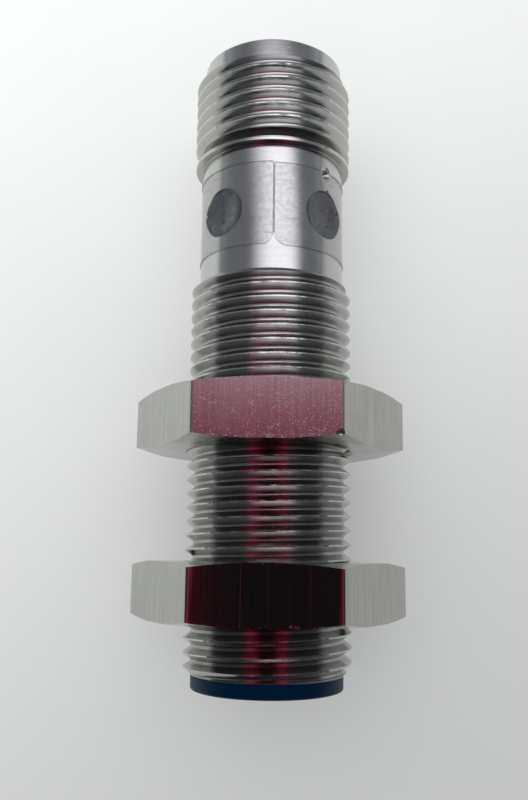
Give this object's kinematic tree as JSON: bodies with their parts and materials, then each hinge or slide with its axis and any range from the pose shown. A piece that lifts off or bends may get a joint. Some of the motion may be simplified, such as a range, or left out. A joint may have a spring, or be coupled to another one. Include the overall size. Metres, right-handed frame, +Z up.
{
  "type": "proximity sensor",
  "caption": "Cylindrical inductive proximity sensor with a threaded metal barrel, hexagon clamping nuts, a plastic sensing face and a threaded plug end.",
  "frame": {"origin": "centre of the sensing face", "axes": "+Y along the barrel from the sensing face to the plug, +Z up with the sensor lying on the flats of its nuts, +X to the right"},
  "size_m": [0.0196, 0.0465, 0.017],
  "materials": {
    "nickel_barrel": "satin, nickel plated",
    "nickel_nut": "machined, nickel plated",
    "blue_cap": "satin moulded",
    "ferrite": "sintered, matt",
    "bobbin_plastic": "moulded",
    "enamelled_copper": "enamelled copper wire",
    "board": "solder resist",
    "chip_epoxy": "moulded epoxy",
    "capacitor_ceramic": "fired ceramic",
    "resistor_film": "fired film",
    "led_lens": "clear lens",
    "smoked_clear": "smoked clear",
    "carrier_plastic": "satin moulded",
    "seal_rubber": "matt",
    "gold_contact": "gold plated",
    "wire_sheath": "extruded",
    "potting_resin": "cast resin",
    "clear_film": "clear film"
  },
  "bodies": {
    "housing": {"housing_tube": "nickel_barrel", "sensing_face_cap": "blue_cap", "light_guide": "smoked_clear", "label_film": "clear_film", "ferrite_core": "ferrite", "coil_bobbin": "bobbin_plastic", "coil_winding": "enamelled_copper", "coil_leads": "enamelled_copper", "circuit_board": "board", "sensor_chip": "chip_epoxy", "output_transistor": "chip_epoxy", "voltage_regulator": "chip_epoxy", "capacitors": "capacitor_ceramic", "resistors": "resistor_film", "protection_diodes": "chip_epoxy", "status_leds": "led_lens", "contact_wires": "wire_sheath", "connector_insert": "carrier_plastic", "insert_seal_ring": "seal_rubber", "contact_pin_1": "gold_contact", "contact_pin_2": "gold_contact", "contact_pin_3": "gold_contact", "contact_pin_4": "gold_contact", "potting_compound": "potting_resin"},
    "front_nut": {"front_nut": "nickel_nut"},
    "rear_nut": {"rear_nut": "nickel_nut"}
  },
  "joints": [
    {"name": "front_nut_travel", "type": "slide", "parent": "housing", "child": "front_nut", "axis": [0, 1, 0], "range_m": [-0.003, 0.003]},
    {"name": "rear_nut_travel", "type": "slide", "parent": "housing", "child": "rear_nut", "axis": [0, 1, 0], "range_m": [-0.004, 0.007]}
  ]
}
